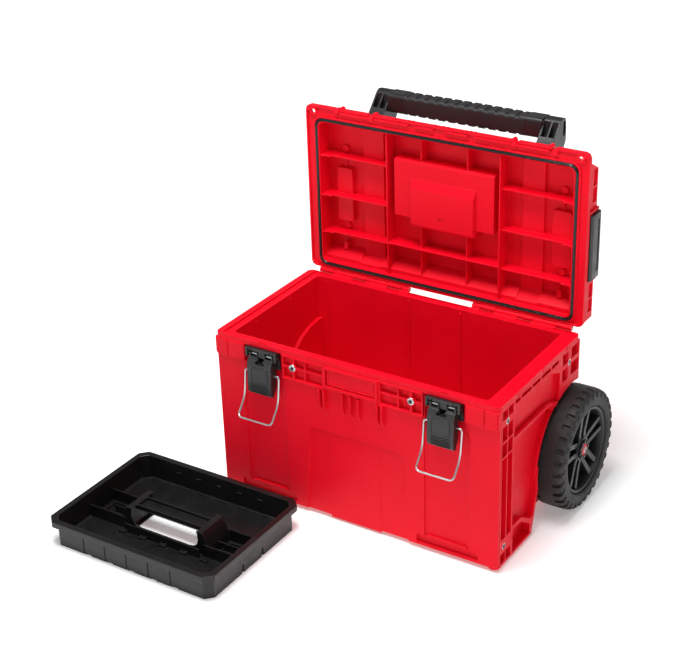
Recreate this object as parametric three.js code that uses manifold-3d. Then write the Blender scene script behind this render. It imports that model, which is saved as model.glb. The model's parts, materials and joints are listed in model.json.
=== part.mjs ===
// Rolling tool chest with a hinged lid, two wire-bail latches, a fold-down lid handle,
// a pair of large wheels on one axle, and its lift-out tray standing beside it.
// Millimetres, +Z up, +Y to the rear, X centred on the chest while it is being built.
// The lid is modelled in its open position, upright behind the rim.

import * as THREE from 'three';
import { mergeVertices } from 'three/addons/utils/BufferGeometryUtils.js';
import Module from 'manifold-3d';

const wasm = await Module();
wasm.setup();

// ---------------------------------------------------------------- driving dimensions

const GAP = 0.3; // running gap between neighbouring pieces

const RIM = { halfX: 265, depth: 286, top: 303, thick: 9, step: 1.6, corner: 9 };
const RIM_SEAT = { halfX: 251, front: 4.5, rear: 283, corner: 5, groove: 1.8, grooveDepth: 3.6 };
const OPENING = { halfX: 237.5, front: 15.5, rear: 270.5, corner: 6 };
const TUB = { wallX: 241, skinY: 3.5, rearY: 274.5, bottom: 12, floor: 16, skirt: 8 };

const REAR_RIBS = { x: [60, 122, 184], z: [40, 160, 222], half: 1.6, from: 273, to: 282 };

const WHEEL = { radius: 105.3, y: 258.6, outerX: 300.8, width: 61.5, bead: 76 };
const ARCH = { clear: 112.5, bulge: 116, wallX: 235, bulgeX: 231.5, panel: 118 };
const AXLE = { radius: 6, halfLength: 290, bore: 6.4 };
const AXLE_NUT = { radius: 11, thick: 5, setback: 6.5 };
const TUNNEL = { front: 246, low: 92.5, high: 118, halfX: 226 };

const SIDE = { innerX: 241.3, skinX: 259.5, faceX: 265, front: 7.8, frontFoot: 122 };
const SIDE_CELLS = {
  front: {
    y: [[11, 27.5], [30.5, 46]],
    z: [[-28, -12], [-67, -40], [-94, -70], [-246, -97], [-290, -272]],
  },
  rear: { y: [[221, 242], [254, 282]], z: [[-32, -12], [-62, -40]] },
};
const FOOT = { radius: 11, high: 7.7, x: 251, y: 19 };
const LATCH_X = 170; // centre of each latch from the middle of the chest
const LATCH_BAY = { half: 36, low: 62, ramp: 100, back: 9 };
const BAND = { halfX: 132, high: 9.3, low: 52, front: 0, back: 9 };
const BAND_CELLS = { x: [[54.5, 86], [88.6, 108], [112.6, 129.4]], z: [[-27.6, -12], [-49, -31]] };
const NAME_PLATE = { halfX: 46, low: 43, high: 14, front: 0.9, back: 3 };
const FINS = { x: [-59, -50, -15, 0, 15, 50, 59], half: 1.7, front: 0.4 };
const FLUTE = { x: [-210, -134.5, 134.5, 210], radius: 3, low: 272, high: 66 };

const HINGE = { y: 293.5, z: RIM.top + 1.5, pin: 1.75, bore: 2.1, tubR: 4.3, lidR: 5 };
const HINGE_LID_SPANS = [[77.5, 105], [148.3, 175.4], [218.8, 246.6]];
const HINGE_TUB_SPANS = [[62, 77.1], [105.4, 147.9], [175.8, 218.4]];

const LID = { halfX: 265.5, low: 6.4, high: 308, faceY: 292.4, flangeY: 301.5, bodyX: 261, backY: 338.4 };
const LID_INNER = { halfX: 240, low: 20, high: 280, ceilingY: 327, backSkinY: 331 };
const LID_LUGS = [[136.5, 144.1], [174.9, 182.5]];
const LID_RIB = { thick: 2.6, edgeY: 296.5, columnX: 107.5, levels: [75, 145, 218] };
const GASKET = { halfX: 245, low: 15.5, high: 284.5, width: 5.6, frontY: 291.2, seatY: 295.6 };
const HAND_POCKET = { halfX: 91, low: 138, high: 233, y: 305 };

const HANDLE = { y: 347, z: RIM.top + 255, gripY: 383, gripZ: RIM.top + 306, section: 34 };
const HANDLE_ARM = { inner: 144.5, outer: 174.5, bore: 4.3, hub: 8.6 };
const HANDLE_GRIP = { halfX: 114.7, core: 12 };

const LEVER = { pinY: -1, pinZ: RIM.top - 20.5, pin: 1.8, bore: 2.1, halfX: 26 };
const BAIL = { wire: 1.6, halfX: 33.5, pivotY: -4, pivotZ: RIM.top - 52 };

const CATCH = { half: 37, lipY: 317, low: 289, slotLow: 297 };

const CLIP = { pivotX: 265, pivotY: 308, low: 85, high: 200, outerX: 270, backX: 262.4 };

const TRAY = { x: -416, y: -291, length: 336, width: 255, height: 48, wall: 2.4 };
const TRAY_GRIP = { post: 76, postHalf: 28.7, barHalf: 14.3, barLow: 37 };

// Side screws as [y, z]; front screws as [x, z].
const SIDE_SCREWS = { front_upper: [29, RIM.top - 35.5], rear_upper: [248, RIM.top - 35.5],
  front_lower: [23, RIM.top - 261] };
const FRONT_SCREW = { x: 111, z: RIM.top - 29.4 };
const SCREW = { shank: 2.2, bore: 2.6, head: 5.2, sink: 5.6 };

// ---------------------------------------------------------------- materials

const plastic = (color, roughness) => new THREE.MeshStandardMaterial({ color, roughness, metalness: 0 });
const red = plastic(0xc4101f, 0.42);
const black = plastic(0x1c1b1c, 0.55);
const softBlack = plastic(0x161616, 0.8);
const gasketRubber = plastic(0x10201e, 0.6);
const steel = new THREE.MeshStandardMaterial({ color: 0xc9ccce, roughness: 0.25, metalness: 1 });

// ---------------------------------------------------------------- solids and booleans

function toSolid(geometry) {
  const bare = geometry.clone();
  bare.deleteAttribute('normal');
  bare.deleteAttribute('uv');
  const merged = mergeVertices(bare, 1e-4);
  return new wasm.Manifold(new wasm.Mesh({
    numProp: 3,
    vertProperties: Float32Array.from(merged.attributes.position.array),
    triVerts: Uint32Array.from(merged.index.array),
  }));
}

function toGeometry(body) {
  const mesh = body.getMesh();
  const geometry = new THREE.BufferGeometry();
  geometry.setAttribute('position', new THREE.BufferAttribute(mesh.vertProperties, 3));
  geometry.setIndex(new THREE.BufferAttribute(mesh.triVerts, 1));
  geometry.computeVertexNormals();
  return geometry;
}

const join = (...bodies) => bodies.flat().reduce((sum, body) => sum.add(body));
const cut = (body, ...tools) => tools.flat().reduce((rest, tool) => rest.subtract(tool), body);

function block([x0, x1], [y0, y1], [z0, z1]) {
  const geometry = new THREE.BoxGeometry(x1 - x0, y1 - y0, z1 - z0);
  geometry.translate((x0 + x1) / 2, (y0 + y1) / 2, (z0 + z1) / 2);
  return toSolid(geometry);
}

// An outline lies in (y, z) for axis x, in (x, z) for axis y and in (x, y) for axis z.
function prism(axis, shape, from, to, curveSegments = 6) {
  const outline = Array.isArray(shape)
    ? new THREE.Shape(shape.map(([a, b]) => new THREE.Vector2(a, b)))
    : shape;
  const settings = { depth: to - from, bevelEnabled: false, curveSegments };
  const geometry = new THREE.ExtrudeGeometry(outline, settings);
  if (axis === 'x') {
    const turn = new THREE.Matrix4().makeBasis(
      new THREE.Vector3(0, 1, 0), new THREE.Vector3(0, 0, 1), new THREE.Vector3(1, 0, 0));
    geometry.applyMatrix4(turn);
    geometry.translate(from, 0, 0);
  } else if (axis === 'y') {
    geometry.rotateX(Math.PI / 2);
    geometry.translate(0, to, 0);
  } else {
    geometry.translate(0, 0, from);
  }
  return toSolid(geometry);
}

function roundedRect(a0, a1, b0, b1, r) {
  const shape = new THREE.Shape();
  shape.moveTo(a0 + r, b0);
  shape.lineTo(a1 - r, b0);
  shape.absarc(a1 - r, b0 + r, r, -Math.PI / 2, 0);
  shape.lineTo(a1, b1 - r);
  shape.absarc(a1 - r, b1 - r, r, 0, Math.PI / 2);
  shape.lineTo(a0 + r, b1);
  shape.absarc(a0 + r, b1 - r, r, Math.PI / 2, Math.PI);
  shape.lineTo(a0, b0 + r);
  shape.absarc(a0 + r, b0 + r, r, Math.PI, Math.PI * 1.5);
  return shape;
}

// A round bar along one axis; centre holds the other two coordinates in x, y, z order.
function rod(axis, radius, from, to, centre, sides = 20) {
  const geometry = new THREE.CylinderGeometry(radius, radius, to - from, sides);
  const middle = (from + to) / 2;
  if (axis === 'x') {
    geometry.rotateZ(-Math.PI / 2);
    geometry.translate(middle, centre[0], centre[1]);
  } else if (axis === 'y') {
    geometry.translate(centre[0], middle, centre[1]);
  } else {
    geometry.rotateX(Math.PI / 2);
    geometry.translate(centre[0], centre[1], middle);
  }
  return toSolid(geometry);
}

// A closed body of revolution about Z from [radius, height] points.
function turned(points, segments) {
  const profile = points.map(([radius, height]) => new THREE.Vector2(radius, height));
  return toSolid(new THREE.LatheGeometry(profile, segments).rotateX(Math.PI / 2));
}

const up = (z) => RIM.top + z; // heights given from the top of the rim
const mirrorX = (body) => body.mirror([1, 0, 0]);
const bothSides = (body) => join(body, mirrorX(body));
const spanAt = (centre, half) => [centre - half, centre + half];

// The side wall's outline in (y, z), cut away round the wheel; inset shrinks it evenly.
function sideOutline(inset) {
  const radius = ARCH.panel + inset;
  const start = Math.PI + 0.21;
  const end = Math.acos((RIM.depth - inset - WHEEL.y) / radius);
  const shape = new THREE.Shape();
  shape.moveTo(SIDE.front + inset, TUB.skirt + inset);
  shape.lineTo(SIDE.frontFoot - inset, TUB.skirt + inset);
  shape.absarc(WHEEL.y, WHEEL.radius, radius, start, end, true);
  shape.lineTo(RIM.depth - inset, RIM.top - RIM.thick - GAP - inset);
  shape.lineTo(SIDE.front + inset, RIM.top - RIM.thick - GAP - inset);
  return shape;
}

// ---------------------------------------------------------------- tub

function tubRim() {
  const plan = roundedRect(-RIM.halfX, RIM.halfX, 0, RIM.depth, RIM.corner);
  const ring = prism('z', plan, RIM.top - RIM.thick, RIM.top, 3);
  const { halfX, front, rear, corner, groove, grooveDepth } = RIM_SEAT;
  const seatPlan = (grow) => roundedRect(
    -halfX - grow, halfX + grow, front - grow, rear + grow, corner + grow);
  const seat = prism('z', seatPlan(0), RIM.top - RIM.step, RIM.top + 1, 2);
  const channel = cut(
    prism('z', seatPlan(groove), RIM.top - grooveDepth, RIM.top + 1, 2),
    prism('z', seatPlan(0), RIM.top - grooveDepth - 1, RIM.top + 2, 2));
  return cut(ring, seat, channel);
}

function frontFlutes() {
  const { radius, low, high } = FLUTE;
  return FLUTE.x.map((x) => join(
    block(spanAt(x, radius), [0, TUB.skinY + 2.2], [up(-low), up(-high)]),
    rod('y', radius, 0, TUB.skinY + 2.2, [x, up(-low)], 10)));
}

function latchBay(x) {
  const { half, low, ramp, back } = LATCH_BAY;
  return prism('x', [[-1, up(-RIM.thick)], [back, up(-RIM.thick)], [back, up(-low)], [TUB.skinY, up(-ramp)],
    [-1, up(-ramp)]], x - half, x + half);
}

function cornerCollar() {
  const wrap = prism('x', [[0, up(-8)], [0, up(-37)], [TUB.skinY + 0.5, up(-43)],
    [TUB.skinY + 0.5, up(-8)]], LATCH_X + LATCH_BAY.half, RIM.halfX);
  return cut(wrap, block([239, 242], [-1, 1.6], [up(-50), up(-8)]));
}

function plateFins() {
  const fin = (x) => prism('x', [[FINS.front, up(-52.3)], [TUB.skinY + 0.5, up(-52.3)],
    [TUB.skinY + 0.5, up(-90)], [TUB.skinY - 0.2, up(-90)], [FINS.front, up(-78)]],
  x - FINS.half, x + FINS.half);
  return FINS.x.map(fin);
}

// The wall bulges inward over the wheel, no further back or down than the tub itself.
function wheelArchBulge() {
  const round = rod('x', ARCH.bulge, ARCH.bulgeX, TUB.wallX, [WHEEL.y, WHEEL.radius], 28);
  const limit = block([0, TUB.wallX + 1], [0, TUB.rearY], [WHEEL.radius, RIM.top]);
  const below = block([ARCH.bulgeX, TUB.wallX], [WHEEL.y - ARCH.bulge, TUB.rearY],
    [TUB.bottom, WHEEL.radius]);
  return join(round.intersect(limit), below);
}

function wheelArchCut() {
  return join(
    rod('x', ARCH.clear, ARCH.wallX, 275, [WHEEL.y, WHEEL.radius], 28),
    block([ARCH.wallX, 275], [WHEEL.y - ARCH.clear, 400], [-5, WHEEL.radius]),
    block([ARCH.wallX, 275], [WHEEL.y, 400], [-5, WHEEL.radius + ARCH.clear]));
}

function rearRibs() {
  const { x, z, half, from, to } = REAR_RIBS;
  const uprights = x.map((at) => bothSides(block(spanAt(at, half), [from, to], [TUB.bottom, up(-8)])));
  const rails = z.map((at) => block([-228, 228], [from, to], spanAt(at, half)));
  return [...uprights, ...rails];
}

function hingeKnuckles() {
  return HINGE_TUB_SPANS.map(([a, b]) => bothSides(cut(
    join(
      rod('x', HINGE.tubR, a, b, [HINGE.y, HINGE.z], 12),
      prism('x', [[282.8, up(-8)], [RIM.depth, up(-8)], [294, up(-2.4)], [294, up(-0.2)],
        [282.8, up(-0.2)]], a, b)),
    rod('x', HINGE.bore, a - 1, b + 1, [HINGE.y, HINGE.z], 10))));
}

function makeTub() {
  const walls = block([-TUB.wallX, TUB.wallX], [9, TUB.rearY], [TUB.bottom, RIM.top - 1]);
  const skin = block([-264.6, 264.6], [TUB.skinY, 7.5], [TUB.skirt, RIM.top - 8.5]);
  const frontWall = block([-TUB.wallX, TUB.wallX], [TUB.skinY, 12], [TUB.skirt, RIM.top - 8.5]);
  const tunnel = block([-TUB.wallX, TUB.wallX], [TUNNEL.front - 4, TUB.rearY],
    [TUNNEL.low - 4, TUNNEL.high + 4]);
  const { halfX, front, rear, corner } = OPENING;
  const inside = prism('z', roundedRect(-halfX, halfX, front, rear, corner), TUB.floor, RIM.top + 5, 4);
  const lightening = block([-225, 225], [9, front + 1], [TUB.floor + 4, up(-112)]);
  const shell = cut(join(walls, skin, frontWall, tubRim()), inside, lightening);
  const fitted = join(shell, tunnel, bothSides(wheelArchBulge()), rearRibs(), bothSides(cornerCollar()),
    plateFins(), hingeKnuckles());
  const screwSockets = Object.values(SIDE_SCREWS).map((at) => bothSides(
    rod('x', SCREW.bore, 238.3, 243, at, 8)));
  return cut(fitted,
    bothSides(wheelArchCut()),
    block([-TUNNEL.halfX, TUNNEL.halfX], [TUNNEL.front, 300], [TUNNEL.low, TUNNEL.high]),
    rod('x', AXLE.bore, -245, 245, [WHEEL.y, WHEEL.radius], 20),
    latchBay(LATCH_X), latchBay(-LATCH_X),
    block([-BAND.halfX - GAP, BAND.halfX + GAP], [-1, BAND.back + GAP], [up(-BAND.low), up(-RIM.thick)]),
    frontFlutes(),
    prism('y', roundedRect(-85, 85, -20, up(-88), 8), 0, TUB.skinY + 1.4, 4),
    bothSides(block([118, 228], [0, TUB.skinY + 1.2], [up(-292), up(-276)])),
    screwSockets,
    bothSides(rod('y', SCREW.bore, 8, 13.5, [FRONT_SCREW.x, FRONT_SCREW.z], 8)));
}

function makeFrontBand() {
  const cells = [];
  for (const [x0, x1] of BAND_CELLS.x) {
    for (const [z0, z1] of BAND_CELLS.z) {
      cells.push(bothSides(block([x0, x1], [-1, BAND.back - 2.4], [up(z0), up(z1)])));
    }
  }
  const bar = block([-BAND.halfX, BAND.halfX], [BAND.front, BAND.back],
    [up(-BAND.low + GAP), up(-BAND.high)]);
  const bosses = rod('y', 6.4, BAND.front, BAND.back, [FRONT_SCREW.x, FRONT_SCREW.z], 12);
  const { halfX, low, high, back } = NAME_PLATE;
  const plateSeat = block([-halfX, halfX], [-1, back], [up(-low), up(-high)]);
  return cut(join(cut(bar, cells), bothSides(bosses)), plateSeat,
    bothSides(rod('y', SCREW.bore, -1, 20, [FRONT_SCREW.x, FRONT_SCREW.z], 8)));
}

function makeNamePlate() {
  const { halfX, low, high, front, back } = NAME_PLATE;
  return block([GAP - halfX, halfX - GAP], [front, back - GAP], [up(-low) + GAP, up(-high) - GAP]);
}

function makeSidePanel() {
  const skinBack = prism('x', sideOutline(4), SIDE.innerX - 1, SIDE.skinX, 9);
  const ribs = [80, 150, 205].map((y) => block([SIDE.innerX, SIDE.skinX + 0.5], spanAt(y, 1.5),
    [y > 120 ? WHEEL.radius + ARCH.panel + 2 : TUB.skirt + 2, up(-12)]));
  const screwPosts = Object.values(SIDE_SCREWS).map((at) => rod(
    'x', 7, SIDE.innerX, SIDE.faceX - 0.6, at, 12));
  const faceCells = [SIDE_CELLS.front, SIDE_CELLS.rear].flatMap((group) => group.y.flatMap((yy) => group.z
    .map(([z0, z1]) => block([SIDE.faceX - 3.4, SIDE.faceX + 1], yy, [up(z0), up(z1)]))));
  const field = prism('x', [[51, up(-83)], [178, up(-83)], [206, up(-98)], [160, up(-140)], [128, up(-210)],
    [112, up(-256)], [84, up(-240)], [51, up(-240)]], SIDE.faceX - 2, SIDE.faceX + 1);
  const upperField = prism('x', [[51, up(-22)], [172, up(-22)], [209, up(-37)], [209, up(-88)],
    [176, up(-77)], [51, up(-77)]], SIDE.faceX - 2.6, SIDE.faceX + 1);
  const slab = prism('x', sideOutline(0), SIDE.innerX, SIDE.faceX, 9);
  const shell = cut(slab, skinBack, faceCells, field, upperField);
  const screws = Object.values(SIDE_SCREWS);
  const shanks = screws.map((at) => rod('x', SCREW.bore, 240, 270, at, 8));
  const heads = screws.map((at) => rod('x', SCREW.sink, SIDE.faceX - 3, SIDE.faceX + 1, at, 12));
  return cut(join(shell, ribs, screwPosts), shanks, heads);
}

// A pan-head screw with its head above z = 0 and its shank below.
const screwBody = (length) => turned([[0, -length], [SCREW.shank, -length], [SCREW.shank, 0],
  [SCREW.head, 0], [SCREW.head, 1.4], [SCREW.head - 1.4, 2.5], [0, 2.5]], 10);

function makeSideScrew([y, z]) {
  return screwBody(23.4).rotate([0, 90, 0]).translate([SIDE.faceX - 2.7, y, z]);
}

function makeFrontScrew(x) {
  return screwBody(12.6).rotate([90, 0, 0]).translate([x, BAND.front - GAP, FRONT_SCREW.z]);
}

function makeFoot(x) {
  const { radius, high, y } = FOOT;
  const pad = turned([[0, 0], [radius - 1.6, 0], [radius, 1.8], [radius, high], [0, high]], 16);
  return pad.translate([x, y, 0]);
}

// ---------------------------------------------------------------- hinge and lid

const makeHingePin = () => rod('x', HINGE.pin, 63, 246, [HINGE.y, HINGE.z], 10);

function lidRibs() {
  const { thick, edgeY, columnX, levels } = LID_RIB;
  const back = LID_INNER.ceilingY + 0.5;
  const uprights = bothSides(block(spanAt(columnX, thick / 2), [edgeY, back], [up(19), up(281)]));
  const shelf = (z) => bothSides(prism('z', [[columnX, edgeY], [227, edgeY], [241, 311], [241, back],
    [columnX, back]], up(z) - thick / 2, up(z) + thick / 2));
  const centreShelf = block([-columnX, columnX], [edgeY, back], [up(78), up(78 + thick)]);
  const webs = [[235, 281], [79, 136], [19, 79]].map(([z0, z1]) => bothSides(
    block(spanAt(44, thick / 2), [z0 > 200 ? 304 : edgeY + 6, back], [up(z0), up(z1)])));
  return [uprights, ...levels.map(shelf), centreShelf, ...webs];
}

function lidKnuckles() {
  return HINGE_LID_SPANS.map(([a, b]) => bothSides(cut(
    join(
      rod('x', HINGE.lidR, a, b, [HINGE.y, HINGE.z], 12),
      block([a, b], [293, 298.2], [HINGE.z, up(9)])),
    rod('x', HINGE.bore, a - 1, b + 1, [HINGE.y, HINGE.z], 10))));
}

// The wire drops into the mouth behind the lip; its legs pass through a slot at each end.
function latchCatch(x) {
  const mouth = block(spanAt(x, CATCH.half), [CATCH.lipY, 345], [up(CATCH.low), up(310)]);
  const slots = [-1, 1].map((s) => block(spanAt(x + s * BAIL.halfX, CATCH.half - BAIL.halfX),
    [290, CATCH.lipY + 1], [up(CATCH.slotLow), up(310)]));
  return [mouth, ...slots];
}

// Behind the flange the lid's top is lower, except at the two catches.
function topTrim() {
  const { flangeY, backY } = LID;
  const whole = prism('x', [[flangeY, up(288)], [327, up(283.2)], [backY + 5, up(279.4)],
    [backY + 5, up(315)], [flangeY, up(315)]], -300, 300);
  const ends = bothSides(prism('x', [[flangeY, up(288)], [311, up(286)], [backY + 5, up(268)],
    [backY + 5, up(315)], [flangeY, up(315)]], 243, 300));
  const catches = bothSides(prism('x', [[flangeY - 1, up(270)], [CATCH.lipY, up(270)],
    [CATCH.lipY, up(297.5)], [flangeY - 1, up(301.4)]], 131, 209));
  return cut(join(whole, ends), catches);
}

function makeLid() {
  const outerShape = roundedRect(-LID.halfX, LID.halfX, up(LID.low), up(LID.high), 9);
  const slab = prism('y', outerShape, LID.faceY, LID.backY, 1);
  const { halfX, low, high, ceilingY, backSkinY } = LID_INNER;
  const inner = prism('y', roundedRect(-halfX, halfX, up(low), up(high), 12), LID.faceY - 1, ceilingY, 3);
  const groove = gasketRing(GASKET.width / 2, LID.faceY - 1, GASKET.seatY);
  const handBlock = join(
    block([-95, 95], [301.4, 328], [up(134), up(237)]),
    prism('x', [[301.6, up(124)], [299, up(124)], [297.3, up(128)], [297.3, up(196)],
      [301.6, up(204)]], -61, 61),
    block([-61, 61], [300, 328], [up(124), up(136)]));
  const behind = [backSkinY, LID.backY + 5];
  const backPockets = [
    prism('y', roundedRect(-186, 186, up(163), up(274), 6), ...behind, 2),
    bothSides(block([100, 186], behind, [up(20), up(158)])),
    block([-95, 95], behind, [up(20), up(130)]),
    ...[[20, 76], [81, 204], [209, 268]].map(([z0, z1]) => bothSides(
      block([191, 256], behind, [up(z0), up(z1)]))),
  ];
  const pocketShape = roundedRect(-HAND_POCKET.halfX, HAND_POCKET.halfX, up(HAND_POCKET.low),
    up(HAND_POCKET.high), 6);
  const handPocket = prism('y', pocketShape, HAND_POCKET.y, LID.backY + 5, 2);
  const clipNotch = bothSides(block([260.5, 275], [303.5, LID.backY + 5],
    [up(CLIP.low - 1), up(CLIP.high + 1)]));
  const sideTrim = bothSides(join(
    block([LID.bodyX, 275], [LID.flangeY, LID.backY + 5], [up(0), up(79)]),
    block([LID.bodyX, 275], [LID.flangeY, LID.backY + 5], [up(206), up(315)])));
  const cornerHoles = bothSides(rod('y', 3.2, 285, 345, [250, up(296)], 12));
  const lugs = LID_LUGS.map(([a, b]) => bothSides(prism('x', [[330, up(241)],
    [347, up(245)], [356, up(250)], [356, up(260)], [347, up(265)], [330, up(269)]], a, b)));
  const pinHoles = bothSides(rod('x', HANDLE_ARM.bore, 120, 200, [HANDLE.y, HANDLE.z], 14));
  const emptied = cut(slab, inner, groove, backPockets, clipNotch, sideTrim, latchCatch(LATCH_X),
    latchCatch(-LATCH_X), topTrim(), cornerHoles);
  return cut(join(emptied, lidRibs(), handBlock, lugs, lidKnuckles()), handPocket, pinHoles);
}

// A flat ring on the gasket's line, half its width each way.
function gasketRing(half, y0, y1) {
  const ring = (d, r) => prism('y', roundedRect(-GASKET.halfX - d, GASKET.halfX + d, up(GASKET.low) - d,
    up(GASKET.high) + d, r), d > 0 ? y0 : y0 - 1, d > 0 ? y1 : y1 + 1, 3);
  return cut(ring(half, 15), ring(-half, 15 - 2 * half));
}

const makeGasket = () => gasketRing(GASKET.width / 2 - GAP, GASKET.frontY, GASKET.seatY - GAP);

// ---------------------------------------------------------------- lid handle

function handleSection() {
  const half = HANDLE.section / 2;
  return roundedRect(...spanAt(HANDLE.gripY, half), ...spanAt(HANDLE.gripZ, half), 6);
}

function makeHandleFrame() {
  const { inner, outer, hub: hubRadius } = HANDLE_ARM;
  const arm = () => {
    const hub = rod('x', hubRadius, inner, outer, [HANDLE.y, HANDLE.z], 18);
    const web = prism('x', [[HANDLE.y - 6.5, HANDLE.z + 5.6], [343.5, up(281)], [373, up(313.5)],
      [379, up(320)], [386, up(323)], [397, up(321)], [399.8, up(306)], [399.8, up(282)], [391, up(269.5)],
      [376, up(258)], [362, up(249)], [HANDLE.y + 5, HANDLE.z - 7]], inner, outer);
    return join(hub, web, prism('x', handleSection(), 115, inner + 1, 2));
  };
  const core = block([-150, 150], spanAt(HANDLE.gripY, HANDLE_GRIP.core),
    spanAt(HANDLE.gripZ, HANDLE_GRIP.core));
  const bore = rod('x', HANDLE_ARM.bore, 120, 200, [HANDLE.y, HANDLE.z], 14);
  return join(bothSides(cut(arm(), bore)), core);
}

function makeHandleGrip() {
  const outer = prism('x', handleSection(), -HANDLE_GRIP.halfX, HANDLE_GRIP.halfX, 2);
  const coreHole = HANDLE_GRIP.core + GAP;
  return cut(outer, block([-150, 150], spanAt(HANDLE.gripY, coreHole), spanAt(HANDLE.gripZ, coreHole)));
}

const makeHandlePin = () => rod('x', HANDLE_ARM.bore - GAP, 137, 182, [HANDLE.y, HANDLE.z], 14);

// ---------------------------------------------------------------- latches (built at X = 0)

function makeLatchBase() {
  const plate = block([-30, 30], [5.2, 8.7], [up(-44), up(-9.4)]);
  const bar = block([-30, 30], [-6, 6], [up(-14.2), up(-9.4)]);
  const middle = block([-6, 6], [-4, 6], [up(-26), up(-10)]);
  const ear = (x0, x1) => block([x0, x1], [-6.5, 6], [up(-26.5), up(-10)]);
  const bore = rod('x', LEVER.bore, -40, 40, [LEVER.pinY, LEVER.pinZ], 12);
  return cut(join(plate, bar, middle, ear(-30.2, -26.5), ear(26.5, 30.2)), bore);
}

function makeLatchLever() {
  const body = prism('x', [[-8.4, up(-28)], [-11.4, up(-44)], [-13, up(-80)], [-11.5, up(-88)],
    [-7, up(-88)], [-1, up(-76)], [2.6, up(-60)], [3.4, up(-44)], [3.2, up(-28)]],
  -LEVER.halfX, LEVER.halfX);
  const hollow = block([-23, 23], [-5, 6], [up(-74), up(-46)]);
  const tab = (x0, x1) => join(
    rod('x', 4.7, x0, x1, [LEVER.pinY, LEVER.pinZ], 16),
    block([x0, x1], [LEVER.pinY - 4.7, LEVER.pinY + 4], [up(-30), LEVER.pinZ]));
  const slots = [[-22, -8], [8, 22]].map((span) => block(
    span, [-9, LEVER.pinY], spanAt(LEVER.pinZ, 1.4)));
  const pinHole = rod('x', LEVER.bore, -40, 40, [LEVER.pinY, LEVER.pinZ], 12);
  const wireHoles = bothSides(rod('x', BAIL.wire + 0.35, 20, 30, [BAIL.pivotY, BAIL.pivotZ], 10));
  return cut(join(cut(body, hollow), tab(-23.6, -7), tab(7, 23.6)), pinHole, slots, wireHoles);
}

const makeLatchPin = () => rod('x', LEVER.pin, -29.6, 29.6, [LEVER.pinY, LEVER.pinZ], 12);

// The bail's wire: in through the lever's side, down the leg, out at the toe and across.
function makeLatchBail() {
  const leg = (s) => [
    new THREE.Vector3(s * 24, BAIL.pivotY, BAIL.pivotZ),
    new THREE.Vector3(s * BAIL.halfX, BAIL.pivotY, BAIL.pivotZ),
    new THREE.Vector3(s * BAIL.halfX, -10, up(-100)),
    new THREE.Vector3(s * BAIL.halfX, -33, up(-129)),
  ];
  const corners = [...leg(1), ...leg(-1).reverse()];
  const path = new THREE.CurvePath();
  const bend = 6;
  let from = corners[0];
  for (let i = 1; i < corners.length - 1; i += 1) {
    const back = corners[i - 1].clone().sub(corners[i]).setLength(bend).add(corners[i]);
    const ahead = corners[i + 1].clone().sub(corners[i]).setLength(bend).add(corners[i]);
    path.add(new THREE.LineCurve3(from, back));
    path.add(new THREE.QuadraticBezierCurve3(back, corners[i], ahead));
    from = ahead;
  }
  path.add(new THREE.LineCurve3(from, corners[corners.length - 1]));
  const section = new THREE.Shape().absarc(0, 0, BAIL.wire, 0, Math.PI * 2);
  return toSolid(new THREE.ExtrudeGeometry(section, { steps: 36, extrudePath: path, curveSegments: 3 }));
}

// ---------------------------------------------------------------- wheels and axle

// Wheel pieces are turned about Z with the outer side up, then laid along +X.
const onAxle = (body) => body.rotate([0, 90, 0]).translate([0, WHEEL.y, WHEEL.radius]);

function makeTyre() {
  const outer = WHEEL.outerX;
  const inner = WHEEL.outerX - WHEEL.width;
  const profile = [[WHEEL.bead, inner + 5], [WHEEL.bead + 8, inner], [96, inner + 1.5], [102.5, inner + 8],
    [WHEEL.radius, inner + 18], [WHEEL.radius, outer - 18], [102.5, outer - 8], [96, outer - 1.5],
    [WHEEL.bead + 8, outer], [WHEEL.bead, outer - 5], [WHEEL.bead, inner + 5]];
  return onAxle(turned(profile, 32));
}

function makeWheelRim() {
  const outer = WHEEL.outerX;
  const edge = WHEEL.bead - 2 * GAP;
  const ring = turned([[edge, outer - 56], [edge, outer - 5.5], [edge - 3, outer - 4],
    [edge - 8, outer - 7], [edge - 9, outer - 15], [edge - 5, outer - 56], [edge, outer - 56]], 32);
  const hub = turned([[0, outer - 56], [18, outer - 56], [20, outer - 22], [22, outer - 10],
    [0, outer - 10]], 16);
  const web = turned([[0, outer - 40], [edge - 4, outer - 40], [edge - 4, outer - 36],
    [0, outer - 36]], 20);
  const spokes = [];
  for (let i = 0; i < 5; i += 1) {
    for (const side of [-1, 1]) {
      const geometry = new THREE.BoxGeometry(edge - 20, 6, 16);
      geometry.translate((edge + 18) / 2 - 3, 0, outer - 18.6);
      geometry.rotateZ(side * 0.07);
      geometry.translate(0, side * 6, 0);
      geometry.rotateZ(Math.PI / 2 + i * Math.PI * 0.4);
      spokes.push(toSolid(geometry));
    }
  }
  const bore = turned([[0, outer - 60], [AXLE.bore, outer - 60], [AXLE.bore, outer], [0, outer]], 16);
  const nutWell = turned([[0, outer - 18], [12, outer - 18], [12, outer], [0, outer]], 16);
  return onAxle(cut(join(ring, hub, web, spokes), bore, nutWell));
}

function makeHubCap() {
  const outer = WHEEL.outerX;
  return onAxle(turned([[0, outer - 9.6], [17, outer - 9.6], [17, outer - 7.4], [12, outer - 5.6],
    [0, outer - 5]], 16));
}

const makeAxle = () => rod(
  'x', AXLE.radius, -AXLE.halfLength, AXLE.halfLength, [WHEEL.y, WHEEL.radius], 20);

function makeAxleNut() {
  const at = AXLE.halfLength - AXLE_NUT.setback;
  const bore = AXLE.radius + GAP;
  return onAxle(turned([[bore, at], [AXLE_NUT.radius, at], [AXLE_NUT.radius, at + AXLE_NUT.thick],
    [bore, at + AXLE_NUT.thick], [bore, at]], 12));
}

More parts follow.
